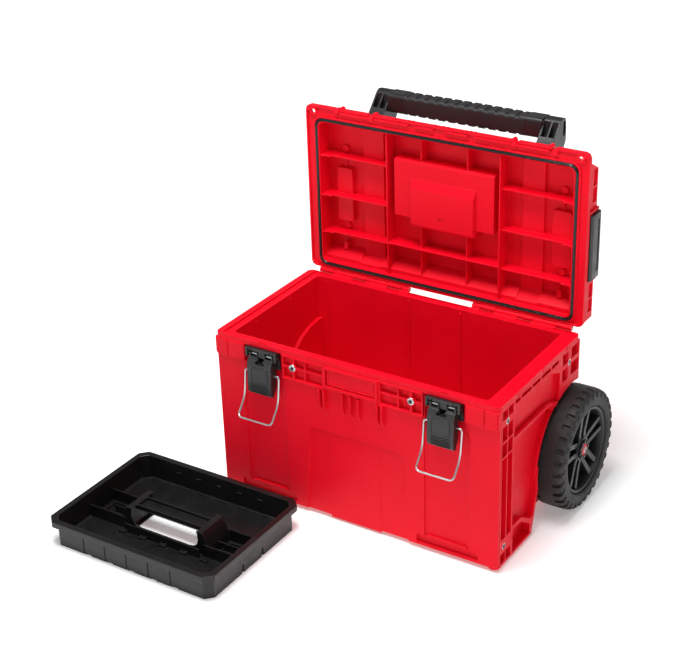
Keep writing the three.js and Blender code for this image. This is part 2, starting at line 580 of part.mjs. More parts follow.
function makeAxleBracket() {
  const shape = roundedRect(TUNNEL.front + GAP, 279, TUNNEL.low + GAP, TUNNEL.high - GAP, 4);
  const body = prism('x', shape, 196, TUNNEL.halfX - 0.4, 3);
  return cut(body, rod('x', AXLE.bore, 190, 232, [WHEEL.y, WHEEL.radius], 20));
}

// ---------------------------------------------------------------- side clips and tray

function makeSideClip() {
  const plate = prism('z', [[CLIP.backX, 305], [267, 305], [CLIP.outerX, 309],
    [CLIP.outerX, 336], [267.5, 340], [CLIP.backX, 340]], up(CLIP.low + GAP), up(CLIP.high - GAP));
  const fingerGrip = block([CLIP.outerX - 1.6, CLIP.outerX + 1], [326, 332],
    [up(CLIP.low + 12), up(CLIP.high - 12)]);
  return cut(plate, fingerGrip);
}

function makeTray() {
  const { length: L, width: W, height: H, wall } = TRAY;
  const middle = W / 2;
  const bevelled = (inset, chamfer) => [[inset + chamfer, inset], [L - inset - chamfer, inset],
    [L - inset, inset + chamfer], [L - inset, W - inset - chamfer], [L - inset - chamfer, W - inset],
    [inset + chamfer, W - inset], [inset, W - inset - chamfer], [inset, inset + chamfer]];
  const flange = cut(prism('z', bevelled(0, 14), H - 11, H), prism('z', bevelled(wall, 13), H - 12, H - 3));
  const walls = prism('z', bevelled(8, 12), 0, H - 1);
  const inside = prism('z', bevelled(8 + wall, 11), wall, H + 1);
  const basin = cut(join(walls, flange), inside);
  const across = (x0, x1, y, top) => block([x0, x1], spanAt(y, wall / 2), [1, top]);
  const wellWalls = [-1, 1].map((s) => across(90, L - 90, middle + s * 37.5, 20));
  const wellEnds = [-1, 1].map((s) => {
    const x = L / 2 + s * TRAY_GRIP.post;
    const foot = s * 14;
    return prism('y', [[x - s, 0.5], [x + foot, 0.5], [x + foot, 20], [x + s * 1.6, H - 2],
      [x - s * 1.6, H - 2], [x - s * 1.6, 20]], ...spanAt(middle, TRAY_GRIP.postHalf));
  });
  const endShelves = [-1, 1].flatMap((s) => [across(8, 88, middle + s * 28.7, 25), across(L - 88, L - 8,
    middle + s * 28.7, 25)]);
  const endTabs = [across(38, 88, middle, 18), across(L - 88, L - 38, middle, 18)];
  const { post, barHalf, barLow } = TRAY_GRIP;
  const grip = cut(
    block(spanAt(L / 2, post), spanAt(middle, barHalf), [barLow, H - 2]),
    block(spanAt(L / 2, 66), spanAt(middle, barHalf - wall), [barLow + wall, H]));
  const wellShape = roundedRect(...spanAt(L / 2, 70), ...spanAt(middle, 35.5), 12);
  const well = prism('z', wellShape, -1, barLow, 4);
  const wallNotches = [58, 108, 158, 208, 258].map((x) => block([x - 2, x + 2], [5, 9], [-1, 30]));
  const sideNotches = [92, 166].map((y) => block([L - 9.4, L], spanAt(y, 5), [-1, 14]));
  const filled = cut(join(basin, wellWalls, wellEnds, endShelves, endTabs), well);
  return cut(join(filled, grip), wallNotches, sideNotches).translate([TRAY.x, TRAY.y, 0]);
}

// ---------------------------------------------------------------- assembly

const chest = new THREE.Group();

function place(name, body, material, parent = chest) {
  const mesh = new THREE.Mesh(toGeometry(body), material);
  mesh.name = name;
  parent.add(mesh);
}

function placePair(name, body, material, parent = chest) {
  place(`${name}_right`, body, material, parent);
  place(`${name}_left`, mirrorX(body), material, parent);
}

place('tub', makeTub(), red);
place('front_band', makeFrontBand(), red);
place('name_plate', makeNamePlate(), red);
placePair('side_panel', makeSidePanel(), red);
placePair('front_foot', makeFoot(FOOT.x), red);
placePair('front_screw', makeFrontScrew(FRONT_SCREW.x), steel);
for (const [where, at] of Object.entries(SIDE_SCREWS)) {
  placePair(`side_screw_${where}`, makeSideScrew(at), steel);
}
placePair('hinge_pin', makeHingePin(), steel);

place('lid_shell', makeLid(), red);
place('lid_gasket', makeGasket(), gasketRubber);
place('handle_frame', makeHandleFrame(), black);
place('handle_grip', makeHandleGrip(), softBlack);
placePair('handle_pin', makeHandlePin(), steel);
placePair('side_clip', makeSideClip(), black);

for (const [side, x] of [['right', LATCH_X], ['left', -LATCH_X]]) {
  const latch = new THREE.Group();
  latch.position.x = x;
  chest.add(latch);
  place(`latch_base_${side}`, makeLatchBase(), black, latch);
  place(`latch_lever_${side}`, makeLatchLever(), black, latch);
  place(`latch_pin_${side}`, makeLatchPin(), steel, latch);
  place(`latch_bail_${side}`, makeLatchBail(), steel, latch);
}

place('axle', makeAxle(), steel);
placePair('axle_bracket', makeAxleBracket(), black);
placePair('axle_nut', makeAxleNut(), steel);
placePair('tyre', makeTyre(), softBlack);
placePair('wheel_rim', makeWheelRim(), black);
placePair('hub_cap', makeHubCap(), black);

place('tray', makeTray(), black);

// The origin is under the middle of the whole set's box, on the floor.
const extent = new THREE.Box3().setFromObject(chest);
chest.position.set(-(extent.min.x + extent.max.x) / 2, -(extent.min.y + extent.max.y) / 2, 0);

export default chest;
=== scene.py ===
# Looks for a rolling tool chest with its lid open and its lift-out tray beside it.
# Shapes are given in millimetres in the chest's own frame: X = 0 in its middle, Y = 0 at the front
# of the rim, Z = 0 on the floor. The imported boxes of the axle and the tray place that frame.
import json
import math

import bmesh
import bpy
from mathutils import Matrix, Vector


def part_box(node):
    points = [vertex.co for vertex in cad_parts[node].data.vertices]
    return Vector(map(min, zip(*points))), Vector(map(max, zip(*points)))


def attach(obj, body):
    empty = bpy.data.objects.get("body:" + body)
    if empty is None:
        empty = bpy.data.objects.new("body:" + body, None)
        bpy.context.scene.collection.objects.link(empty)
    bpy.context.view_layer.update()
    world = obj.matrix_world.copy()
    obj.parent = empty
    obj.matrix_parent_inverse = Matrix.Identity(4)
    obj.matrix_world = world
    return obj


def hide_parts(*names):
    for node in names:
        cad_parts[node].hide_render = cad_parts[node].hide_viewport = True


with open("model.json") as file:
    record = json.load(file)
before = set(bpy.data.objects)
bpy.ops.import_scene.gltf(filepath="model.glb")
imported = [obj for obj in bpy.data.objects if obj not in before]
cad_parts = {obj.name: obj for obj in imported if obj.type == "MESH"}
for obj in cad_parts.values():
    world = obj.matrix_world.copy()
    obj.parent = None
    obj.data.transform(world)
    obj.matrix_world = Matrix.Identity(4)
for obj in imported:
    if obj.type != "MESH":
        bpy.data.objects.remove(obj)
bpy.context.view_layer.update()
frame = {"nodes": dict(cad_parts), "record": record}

MM = 0.001
RIM = 303.0                             # height of the rim's top
WHEEL_Y, WHEEL_R = 258.6, 105.3         # the axle's y, and its height, which is the tyre's radius
AXLE = (WHEEL_Y, WHEEL_R)
WHEEL_OUT, WHEEL_WIDE = 300.8, 61.5     # outer face and width of the wheels
axle_low, axle_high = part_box("axle")
X0 = (axle_low.x + axle_high.x) / 2
Y0 = (axle_low.y + axle_high.y) / 2 - WHEEL_Y * MM
tray_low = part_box("tray")[0]
TRAY_X = (tray_low.x - X0) / MM
TRAY_Y = (tray_low.y - Y0) / MM
BODY_OF = {n: b for b, ns in frame["record"]["behaviour"]["bodies"].items() for n in ns}
SLOT_OF = {s["node"]: s["material_slot"] for s in frame["record"]["subparts"]}
SIDES = (("right", 1), ("left", -1))


def at(x, y, z):
    """A point of the chest's frame, in metres."""
    return Vector((X0 + x * MM, Y0 + y * MM, z * MM))


def up(z):
    """A height counted from the rim's top."""
    return RIM + z


def span(middle, half):
    return middle - half, middle + half


# ------------------------------------------------------------------ camera
CAMERA_AT = at(1166.0, -1790.0, 1441.1)
YAW, PITCH, ROLL = math.radians(-32.61), math.radians(26.53), math.radians(1.53)
FOCAL_PX, IMAGE_PX, SENSOR_MM = 1534.0, 698.0, 36.0

ahead = Vector((math.sin(YAW) * math.cos(PITCH), math.cos(YAW) * math.cos(PITCH), -math.sin(PITCH)))
right = Vector((math.cos(YAW), -math.sin(YAW), 0.0))
down = ahead.cross(right)
cam_right = right * math.cos(ROLL) + down * math.sin(ROLL)
cam_down = down * math.cos(ROLL) - right * math.sin(ROLL)
cam_data = bpy.data.cameras.new("camera")
camera = bpy.data.objects.new("camera", cam_data)
bpy.context.scene.collection.objects.link(camera)
turn = Matrix((cam_right, -cam_down, -ahead)).transposed().to_4x4()
camera.matrix_world = Matrix.Translation(CAMERA_AT) @ turn
cam_data.sensor_width = SENSOR_MM
cam_data.lens = FOCAL_PX / IMAGE_PX * SENSOR_MM
cam_data.shift_x, cam_data.shift_y = -0.0158, -0.0122
cam_data.clip_start, cam_data.clip_end = 0.05, 50.0
bpy.context.scene.camera = camera

# ------------------------------------------------------------------ solids
WELD = 2e-6             # metres: corners nearer than this are one
FLAT = 6e-6             # metres: how far a joined face's corners may lie off its plane
SLIVER = 1e-8           # square metres: a face whose normal can't be trusted
SAME_PLANE, SAME_SIDE = 0.9996, 0.5
MOST_CORNERS = 500
STRAIGHT = math.pi - 0.01
ROOM_SHARE = 0.34       # the part of the shortest edge that rounding may take
ROUND_TRIES, EASED_TRIES, EASE = 5, 3, 0.4
FOLD_AREA, FOLD_SHARE = 2e-7, 0.02      # how much area a sound polygon's triangles may miss


def as_mesh(bm, name="solid"):
    mesh = bpy.data.meshes.new(name)
    bm.to_mesh(mesh)
    bm.free()
    return mesh


def closed_mesh(bm):
    bmesh.ops.recalc_face_normals(bm, faces=bm.faces)
    return as_mesh(bm)


def prism(axis, outline, low, high):
    """A closed prism; the outline lies in (y, z), (x, z) or (x, y) for axis x, y or z."""
    bm = bmesh.new()

    def point(p, t):
        if axis == "x":
            return at(t, p[0], p[1])
        if axis == "y":
            return at(p[0], t, p[1])
        return at(p[0], p[1], t)

    near = [bm.verts.new(point(p, low)) for p in outline]
    far = [bm.verts.new(point(p, high)) for p in outline]
    bm.faces.new(near[::-1])
    bm.faces.new(far)
    n = len(outline)
    for i in range(n):
        bm.faces.new((near[i], near[(i + 1) % n], far[(i + 1) % n], far[i]))
    return closed_mesh(bm)


def rectangle(a, b):
    return [(a[0], b[0]), (a[1], b[0]), (a[1], b[1]), (a[0], b[1])]


def block(x, y, z):
    return prism("z", rectangle(x, y), *z)


def rounded(a0, a1, b0, b1, r, steps=6):
    """The outline of a rectangle with round corners."""
    points = []
    corners = ((a1 - r, b0 + r, -90), (a1 - r, b1 - r, 0), (a0 + r, b1 - r, 90), (a0 + r, b0 + r, 180))
    for ca, cb, start in corners:
        for i in range(steps + 1):
            t = math.radians(start + 90 * i / steps)
            points.append((ca + r * math.cos(t), cb + r * math.sin(t)))
    return points


def circle(ca, cb, r, steps):
    angles = [2 * math.pi * i / steps for i in range(steps)]
    return [(ca + r * math.cos(t), cb + r * math.sin(t)) for t in angles]


def rod(axis, r, low, high, centre, steps):
    return prism(axis, circle(*centre, r, steps), low, high)


def grown(outline, d):
    """The outline of a counter-clockwise polygon moved outward by d."""
    out = []
    n = len(outline)
    for i in range(n):
        a, b, c = (Vector(outline[k % n]) for k in (i - 1, i, i + 1))
        u, v = (b - a).normalized(), (c - b).normalized()
        m, k = Vector((u.y, -u.x)), Vector((v.y, -v.x))
        miter = (m + k) / (1 + m.dot(k))
        out.append(tuple(b + miter * d))
    return out


def mirrored(mesh):
    bm = bmesh.new()
    bm.from_mesh(mesh)
    for v in bm.verts:
        v.co.x = 2 * X0 - v.co.x
    bmesh.ops.reverse_faces(bm, faces=bm.faces)
    return as_mesh(bm)


def both(meshes):
    return meshes + [mirrored(m) for m in meshes]


def moved(mesh, matrix):
    out = mesh.copy()
    out.transform(matrix)
    return out


def joined_rings(bm, rings, closed=True):
    """Faces between rings of as many vertices each; an open run of rings gets two end caps."""
    n, count = len(rings[0]), len(rings)
    for i in range(count if closed else count - 1):
        a, b = rings[i], rings[(i + 1) % count]
        for j in range(n):
            bm.faces.new((a[j], a[(j + 1) % n], b[(j + 1) % n], b[j]))
    if not closed:
        bm.faces.new(rings[0][::-1])
        bm.faces.new(rings[-1])
    return closed_mesh(bm)


def wheel_ring(bm, profile, t):
    """A (radius, x) profile as vertices at the angle t about the axle."""
    return [bm.verts.new(at(x, WHEEL_Y + r * math.cos(t), WHEEL_R + r * math.sin(t))) for r, x in profile]


def revolve(profile, steps):
    """Turns a closed (radius, x) profile about the axle."""
    bm = bmesh.new()
    return joined_rings(bm, [wheel_ring(bm, profile, 2 * math.pi * i / steps) for i in range(steps)])


def sweep(path, section, closed=True):
    """A tube: section is a list of (side, lift) offsets on each (origin, side, lift) of the path."""
    bm = bmesh.new()
    rings = []
    for origin, side, lift in path:
        rings.append([bm.verts.new(origin + side * (a * MM) + lift * (b * MM)) for a, b in section])
    return joined_rings(bm, rings, closed)


def temporary(mesh):
    obj = bpy.data.objects.new("tool", mesh)
    bpy.context.scene.collection.objects.link(obj)
    return obj


def applied(obj):
    """The object's mesh with its modifiers applied; the object is removed."""
    graph = bpy.context.evaluated_depsgraph_get()
    mesh = bpy.data.meshes.new_from_object(obj.evaluated_get(graph))
    bpy.data.objects.remove(obj)
    return mesh


def combined(base, *steps):
    """base after each (operation, [meshes]) step, as one closed mesh."""
    obj = temporary(base)
    tools = []
    for operation, meshes in steps:
        for mesh in meshes:
            tool = temporary(mesh)
            tools.append(tool)
            modifier = obj.modifiers.new("b", "BOOLEAN")
            modifier.operation = operation
            modifier.solver = "MANIFOLD"
            modifier.object = tool
    result = applied(obj)
    for tool in tools:
        bpy.data.objects.remove(tool)
    return result


def cad_mesh(node):
    """The CAD node's own shape with its split corners welded."""
    bm = bmesh.new()
    bm.from_mesh(frame["nodes"][node].data)
    bmesh.ops.remove_doubles(bm, verts=bm.verts, dist=WELD)
    return as_mesh(bm)


def merge_flat(bm):
    """Joins faces lying in one plane, longest edge first, keeping every face a simple polygon."""
    plane = {f: (f.calc_area(), f.normal.copy(), f.verts[0].co.copy()) for f in bm.faces}
    inner = [e for e in bm.edges if len(e.link_faces) == 2]
    inner.sort(key=lambda e: -e.calc_length())
    for e in inner:
        if not e.is_valid or len(e.link_faces) != 2:
            continue
        f, g = e.link_faces
        if f == g or len(f.verts) + len(g.verts) > MOST_CORNERS:
            continue
        if plane[f][0] < plane[g][0]:
            f, g = g, f
        size, normal, point = plane[f]
        alike = plane[g][1].dot(normal)
        if alike < SAME_SIDE or plane[g][0] > SLIVER and alike < SAME_PLANE:
            continue
        if any(abs((v.co - point).dot(normal)) > FLAT for v in g.verts):
            continue
        shared = sum(1 for v in f.verts if g in v.link_faces)
        edges = sum(1 for k in f.edges if g in k.link_faces)
        if shared == edges + 1:
            try:
                joined = bmesh.utils.face_join((f, g), True)
            except ValueError:
                continue
            plane[joined] = (size, normal, point)
    for v in list(bm.verts):
        if not v.is_valid or len(v.link_edges) != 2 or not v.link_faces:
            continue
        a, b = (k.other_vert(v).co - v.co for k in v.link_edges)
        if min(a.length, b.length) > 0 and a.angle(b) > STRAIGHT and all(
                len(f.verts) > 3 for f in v.link_faces):
            bmesh.utils.vert_collapse_edge(v, v.link_edges[0])
    loose = [v for v in bm.verts if not v.link_faces]
    bmesh.ops.delete(bm, geom=loose, context="VERTS")
    bm.normal_update()


def folded_faces(mesh):
    """The source faces of polygons that cross themselves: their triangles' areas don't add up."""
    check = bmesh.new()
    check.from_mesh(mesh)
    mark = check.faces.layers.int["face_id"]
    area = {}
    for loops in check.calc_loop_triangles():
        a, b, c = (k.vert.co for k in loops)
        f = loops[0].face
        area[f] = area.get(f, 0.0) + (b - a).cross(c - a).length / 2
    found = set()
    for f in check.faces:
        size = f.calc_area()
        if abs(area.get(f, 0.0) - size) > FOLD_AREA + FOLD_SHARE * size:
            found.add(f[mark])
    check.free()
    return found


def softened(mesh, width, segments=2, sharp=37.0):
    """Rounds the sharp edges, each by no more than the room round its ends allows."""
    bm = bmesh.new()
    bm.from_mesh(mesh)
    bmesh.ops.remove_doubles(bm, verts=bm.verts, dist=WELD)
    bmesh.ops.dissolve_degenerate(bm, edges=bm.edges, dist=WELD)
    bm.normal_update()
    merge_flat(bm)
    layers = bm.edges.layers.float
    weight = layers.get("bevel_weight_edge") or layers.new("bevel_weight_edge")
    mark = bm.faces.layers.int.new("face_id")
    room = {v: min((e.calc_length() for e in v.link_edges), default=0.0) for v in bm.verts}
    for e in bm.edges:
        e[weight] = 0.0
        if len(e.link_faces) == 2 and e.calc_face_angle(0.0) > math.radians(sharp):
            free = ROOM_SHARE * min(room[e.verts[0]], room[e.verts[1]])
            e[weight] = min(1.0, free / (width * MM))
    bm.faces.ensure_lookup_table()
    for i, f in enumerate(bm.faces):
        f[mark] = i
    for attempt in range(ROUND_TRIES):
        flat_mesh = bpy.data.meshes.new("flat")
        bm.to_mesh(flat_mesh)
        obj = temporary(flat_mesh)
        modifier = obj.modifiers.new("round", "BEVEL")
        modifier.width = width * MM
        modifier.segments = segments
        modifier.limit_method = "WEIGHT"
        modifier.use_clamp_overlap = False
        modifier.loop_slide = False
        modifier.miter_outer = "MITER_SHARP"
        result = applied(obj)
        broken = folded_faces(result)
        if not broken:
            break
        bm.faces.ensure_lookup_table()
        for i in broken:
            for v in bm.faces[i].verts:
                for e in v.link_edges:
                    e[weight] *= EASE if attempt < EASED_TRIES else 0.0
    bm.free()
    return result


def piece(name, mesh, body, material, stands_for=(), crease=38.0):
    """Links a finished mesh as a piece of the object."""
    for polygon in mesh.polygons:
        polygon.use_smooth = True
    mesh.set_sharp_from_angle(angle=math.radians(crease))
    mesh.materials.clear()
    mesh.materials.append(material)
    obj = bpy.data.objects.new(name, mesh)
    bpy.context.scene.collection.objects.link(obj)
    weighted = obj.modifiers.new("flat faces", "WEIGHTED_NORMAL")
    weighted.keep_sharp = True
    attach(obj, body)
    if stands_for:
        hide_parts(*stands_for)


def skin(node, material, *steps, width=0.6, segments=2):
    """A CAD node's shape with added and cut detail and rounded edges, standing for that node."""
    mesh = cad_mesh(node)
    if steps:
        mesh = combined(mesh, *steps)
    mesh = softened(mesh, width, segments)
    piece(node + "_skin", mesh, BODY_OF[node], material, (node,))


# ------------------------------------------------------------------ materials
EDGE_WEAR_AND_HIGHLIGHT = 0.55        # how far the lighter edge colour, partly rubbed wear and partly painted highlight, covers an edge
EDGE_RADIUS = 0.0009
GRAIN_DEPTH, STREAK_DEPTH = 0.00008, 0.00004
STREAK = (4.0, 260.0, 260.0)


def new_material(name):
    material = bpy.data.materials.new(name)
    material.use_nodes = True
    return material, material.node_tree, material.node_tree.nodes["Principled BSDF"]


def add_node(tree, kind, values, feeds, **settings):
    """A node with its settings, its inputs' values, and the outputs that feed its other inputs."""
    made = tree.nodes.new(kind)
    for name, value in settings.items():
        setattr(made, name, value)
    for name, value in values.items():
        made.inputs[name].default_value = value
    for name, output in feeds.items():
        tree.links.new(output, made.inputs[name])
    return made


def coordinates(tree, kind="Object"):
    return tree.nodes.new("ShaderNodeTexCoord").outputs[kind]


def noise(tree, place, scale, detail, distortion=0.0):
    return add_node(tree, "ShaderNodeTexNoise", {"Scale": scale, "Detail": detail, "Distortion": distortion},
                    {"Vector": place}).outputs["Fac"]


def ramp(tree, factor, low, high, stops=(0.0, 1.0)):
    made = add_node(tree, "ShaderNodeValToRGB", {}, {"Fac": factor})
    for element, stop, colour in zip(made.color_ramp.elements, stops, (low, high)):
        element.position = stop
        element.color = (*colour, 1)
    return made.outputs["Color"]


def map_range(tree, value, source, target):
    limits = {"From Min": source[0], "From Max": source[1], "To Min": target[0], "To Max": target[1]}
    return add_node(tree, "ShaderNodeMapRange", limits, {"Value": value}).outputs["Result"]


def plastic(name, base, dark, roughness, worn_and_lit_edge, grain, grain_height=0.25, spread=0.08, specular=0.5):
    """Moulded plastic: fine grain, slow colour drift, and a lighter line along edges, partly rubbed wear and
    partly painted highlight.
    """
    material, tree, shader = new_material(name)
    shader.inputs["Specular IOR Level"].default_value = specular
    place = coordinates(tree)
    colour = ramp(tree, noise(tree, place, 9.0, 3.0), dark, base, (0.3, 0.7))
    scuff = noise(tree, place, 38.0, 6.0, 0.6)
    rough = map_range(tree, scuff, (0.3, 0.7), span(roughness, spread))
    tree.links.new(rough, shader.inputs["Roughness"])
    bevel = add_node(tree, "ShaderNodeBevel", {"Radius": EDGE_RADIUS}, {}, samples=4).outputs["Normal"]
    normal = tree.nodes.new("ShaderNodeNewGeometry").outputs["Normal"]
    dot = add_node(tree, "ShaderNodeVectorMath", {}, {0: bevel, 1: normal}, operation="DOT_PRODUCT")
    # edge mask: lighter colour on every edge, partly rubbed wear and partly painted highlight
    edge = map_range(tree, dot.outputs["Value"], (0.995, 0.86), (0.0, EDGE_WEAR_AND_HIGHLIGHT))
    mix = add_node(tree, "ShaderNodeMix", {"B": (*worn_and_lit_edge, 1)}, {"Factor": edge, "A": colour}, data_type="RGBA")
    tree.links.new(mix.outputs["Result"], shader.inputs["Base Color"])
    bump = add_node(tree, "ShaderNodeBump", {"Strength": grain_height, "Distance": GRAIN_DEPTH},
                    {"Height": noise(tree, place, grain, 2.0), "Normal": bevel})
    tree.links.new(bump.outputs["Normal"], shader.inputs["Normal"])
    return material


def metal(name, base, roughness):
    """Zinc plating: bright, with fine drawn streaks and faint clouding."""
    material, tree, shader = new_material(name)
    shader.inputs["Metallic"].default_value = 1.0
    scale = add_node(tree, "ShaderNodeMapping", {"Scale": STREAK}, {"Vector": coordinates(tree)})
    streaks = noise(tree, scale.outputs["Vector"], 12.0, 4.0)
    colour = ramp(tree, streaks, [c * 0.72 for c in base], base)
    rough = map_range(tree, streaks, (0.0, 1.0), (roughness - 0.08, roughness + 0.12))
    bump = add_node(tree, "ShaderNodeBump", {"Strength": 0.12, "Distance": STREAK_DEPTH}, {"Height": streaks})
    tree.links.new(colour, shader.inputs["Base Color"])
    tree.links.new(rough, shader.inputs["Roughness"])
    tree.links.new(bump.outputs["Normal"], shader.inputs["Normal"])
    return material


# each plastic's fifth value is its lighter edge colour: partly rubbed wear, partly painted highlight
RED = plastic("red_shell", (0.79, 0.0022, 0.0170), (0.73, 0.0012, 0.0138), 0.44,
              (0.92, 0.024, 0.032), 1500, specular=0.12)
BLACK = plastic("black_fittings", (0.0135, 0.0128, 0.013), (0.0095, 0.009, 0.0094), 0.40,
                (0.060, 0.058, 0.059), 1300, 0.35)
GRIP = plastic("grip_rubber", (0.014, 0.012, 0.013), (0.010, 0.009, 0.010), 0.58,
               (0.04, 0.037, 0.038), 1900, 0.5)
GASKET = plastic("gasket_rubber", (0.0035, 0.013, 0.013), (0.0025, 0.009, 0.009), 0.17,
                 (0.010, 0.030, 0.030), 500, 0.04, spread=0.03)
TYRE = plastic("tyre_rubber", (0.020, 0.0185, 0.0185), (0.013, 0.012, 0.012), 0.62,
               (0.055, 0.052, 0.05), 1100, 0.6, specular=0.4)
WHEEL = plastic("wheel_plastic", (0.016, 0.015, 0.015), (0.011, 0.010, 0.010), 0.42,
                (0.06, 0.056, 0.055), 1300, 0.3, specular=0.4)
TRAY = plastic("tray_plastic", (0.0085, 0.0078, 0.0080), (0.006, 0.0055, 0.0056), 0.38,
               (0.05, 0.047, 0.047), 1300, 0.28, specular=0.4)
ZINC = metal("zinc_steel", (0.60, 0.65, 0.66), 0.30)
# dark metal that paints the shade inside the screws' star recesses
SOCKET_SHADE = metal("screw_recess_shade", (0.035, 0.04, 0.045), 0.5)
LOOK = {"red_shell": RED, "black_fittings": BLACK, "grip_rubber": GRIP, "gasket_rubber": GASKET,
        "tyre_rubber": TYRE, "wheel_plastic": WHEEL, "tray_plastic": TRAY, "zinc_steel": ZINC}
for node, obj in frame["nodes"].items():
    obj.data.materials.clear()
    obj.data.materials.append(LOOK[SLOT_OF[node]])

# ------------------------------------------------------------------ tub


def tub():
    rib, fin, nub, slot = 1.4, 1.6, 2.6, 8.6      # half widths
    add = [block(span(x, rib), (268.6, 271), (20, up(-8))) for x in (-217, -50.5, 50.5, 217)]
    for y in (80, 180):
        add += both([block((235.8, 238), span(y, rib), (20, up(-8)))])
    # collars at the front corners, each with an upright groove
    profile = [(-1.6, up(-9.6)), (-1.6, up(-38)), (-0.4, up(-40.6)), (4, up(-41.6)), (4, up(-9.6))]
    groove = block((238.4, 240.6), (-3, 0.6), (up(-60), up(0)))
    add += both([combined(prism("x", profile, 207, 261.5), ("DIFFERENCE", [groove]))])
    # fins below the name plate, and a ledge over each outer pair
    profile = [(-5.2, up(-52.4)), (4, up(-52.4)), (4, up(-93)), (2.8, up(-93)), (-5.2, up(-80))]
    add += [prism("x", profile, *span(x, fin)) for x in (-59, -50, -15, 0, 15, 50, 59)]
    add += [block(x, (-1.6, 3.8), (up(-54.4), up(-52.4))) for x in ((-60, -49), (49, 60))]
    # nubs along the rim
    add += [block(span(x, nub), (0.6, 3.6), (up(-2), up(0.9))) for x in (-218, -57, 57, 218)]
    for y in (64, 150, 236):
        add += both([block((262, 265.9), (y - 2.2, y + 2.2), (up(-8), up(-1.4)))])
    # slots in the rim above the latches
    cuts = [block(span(x, slot), (0.8, 6.0), (up(-7.8), up(2))) for x in (-169.5, 169.5)]
    # recessed panels with sloped side walls: one below each latch, one in the middle
    for x in (-172.2, 172.2):
        outline = [(x - 40, 2), (x + 40, 2), (x + 36, 6.8), (x - 35, 6.8)]
        cuts.append(prism("z", outline, up(-271), up(-60)))
    fill = [block((-88, 88), (3.5, 6), (4.5, up(-84)))]
    outline = [(-95, -40), (101, -40), (101, up(-295)), (95, up(-143)), (93, up(-137)), (88, up(-132.6)),
               (82, up(-131.4)), (-76, up(-131.4)), (-81, up(-132.6)), (-84, up(-136)), (-85.4, up(-142)),
               (-95, up(-295))]
    raised = block((-49, 49), (5.9, 8), (-50, up(-120)))
    cuts.append(combined(prism("y", outline, 2, 6.4), ("DIFFERENCE", [raised])))
    cuts += both([block((117, 229), (2, 8.6), (up(-290), up(-275)))])
    skin("tub", RED, ("UNION", fill), ("DIFFERENCE", cuts), ("UNION", add), width=0.9)


tub()

# ------------------------------------------------------------------ front band and plate


def front_band():
    screws_at = [(x, up(-29.4)) for x in (-111, 111)]
    ring = combined(prism("y", rounded(-51, 51, up(-47.5), up(-9.8), 2.5), -4.0, 1),
                    ("DIFFERENCE", [prism("y", rounded(-46.4, 46.4, up(-43.4), up(-13.8), 2.0), -5, 3)]))
    bosses = [combined(rod("y", 7.0, -1.4, 6.8, centre, 28),
                       ("DIFFERENCE", [rod("y", 5.6, -3, 0, centre, 28)])) for centre in screws_at]
    rails = both([block((52, 132), (-1.6, 1), (up(z - 1.1), up(z + 1.1))) for z in (-10.6, -50.6)])
    holes = [rod("y", 2.5, -3, 12, centre, 16) for centre in screws_at]
    skin("front_band", RED, ("UNION", [ring, *bosses, *rails]), ("DIFFERENCE", holes), width=0.7)
    field = prism("y", rounded(-41.6, 41.6, up(-39), up(-18), 1.4), -3, 0.2)
    border = combined(prism("y", rounded(-44, 44, up(-41.4), up(-15.6), 2.0), -1.4, 1.4),
                      ("DIFFERENCE", [field]))
    skin("name_plate", RED, ("UNION", [border]), width=0.4)


front_band()

# ------------------------------------------------------------------ side panels


def cells(rows, columns, depth):
    """A (outline, depth) pocket for each (y, z) range; z counts from the rim."""
    return [(rectangle(y, (up(z[0]), up(z[1]))), depth) for y in rows for z in columns]


def side_panels():
    arch = [(WHEEL_Y + 124 * math.cos(t), WHEEL_R + 124 * math.sin(t))
            for t in [math.radians(188 - 7.1 * i) for i in range(8)]]
    front_post = ((-26.5, -12), (-67, -40), (-94, -70), (-246, -97), (-290, -272))
    pockets = cells(((11, 27.5), (30.5, 46)), front_post, 252)
    pockets += cells(((221, 240.5), (256, 280.5)), ((-31, -12), (-62, -41)), 252)
    pockets += cells(((53, 70), (74, 108), (112, 140), (144, 176), (180, 206)), ((-18.2, -11.8),), 254)
    upper = [(53, up(-76.5)), (174, up(-76)), (204, up(-88)), (212, up(-92)), (212, up(-38.5)),
             (173, up(-24.5)), (53, up(-25))]
    lower = [(52, up(-239)), (84, up(-241.5)), (116, up(-262)), (124.5, up(-262)), (136.4, up(-222)),
             *arch[1:], (192, up(-99)), (174, up(-84)), (52, up(-84.5))]
    foot = [(53, up(-290)), (115.5, up(-290)), (115.5, up(-271)), (81, up(-248.5)), (53, up(-246))]
    pockets += [(upper, 256.5), (lower, 253.5), (foot, 250)]
    boxes = [prism("x", grown(outline, 1.6), back - 1.8, 262.2) for outline, back in pockets]
    cuts = [prism("x", outline, back, 275) for outline, back in pockets]
    screws_at = [(y, up(z)) for y, z in ((29, -35.5), (248, -35.5), (23, -261))]
    posts = [combined(rod("x", 7.4, 251, 265, centre, 28),
                      ("DIFFERENCE", [rod("x", 5.6, 262, 270, centre, 28)])) for centre in screws_at]
    holes = [rod("x", 2.5, 240, 270, centre, 16) for centre in screws_at]
    mesh = combined(cad_mesh("side_panel_right"), ("UNION", boxes), ("DIFFERENCE", cuts), ("UNION", posts),
                    ("DIFFERENCE", holes))
    mesh = softened(mesh, 0.8)
    piece("side_panel_right_skin", mesh, "chest", RED, ("side_panel_right",))
    piece("side_panel_left_skin", mirrored(mesh), "chest", RED, ("side_panel_left",))


side_panels()

for side, _ in SIDES:
    skin("front_foot_" + side, RED, segments=3)

# ------------------------------------------------------------------ lid


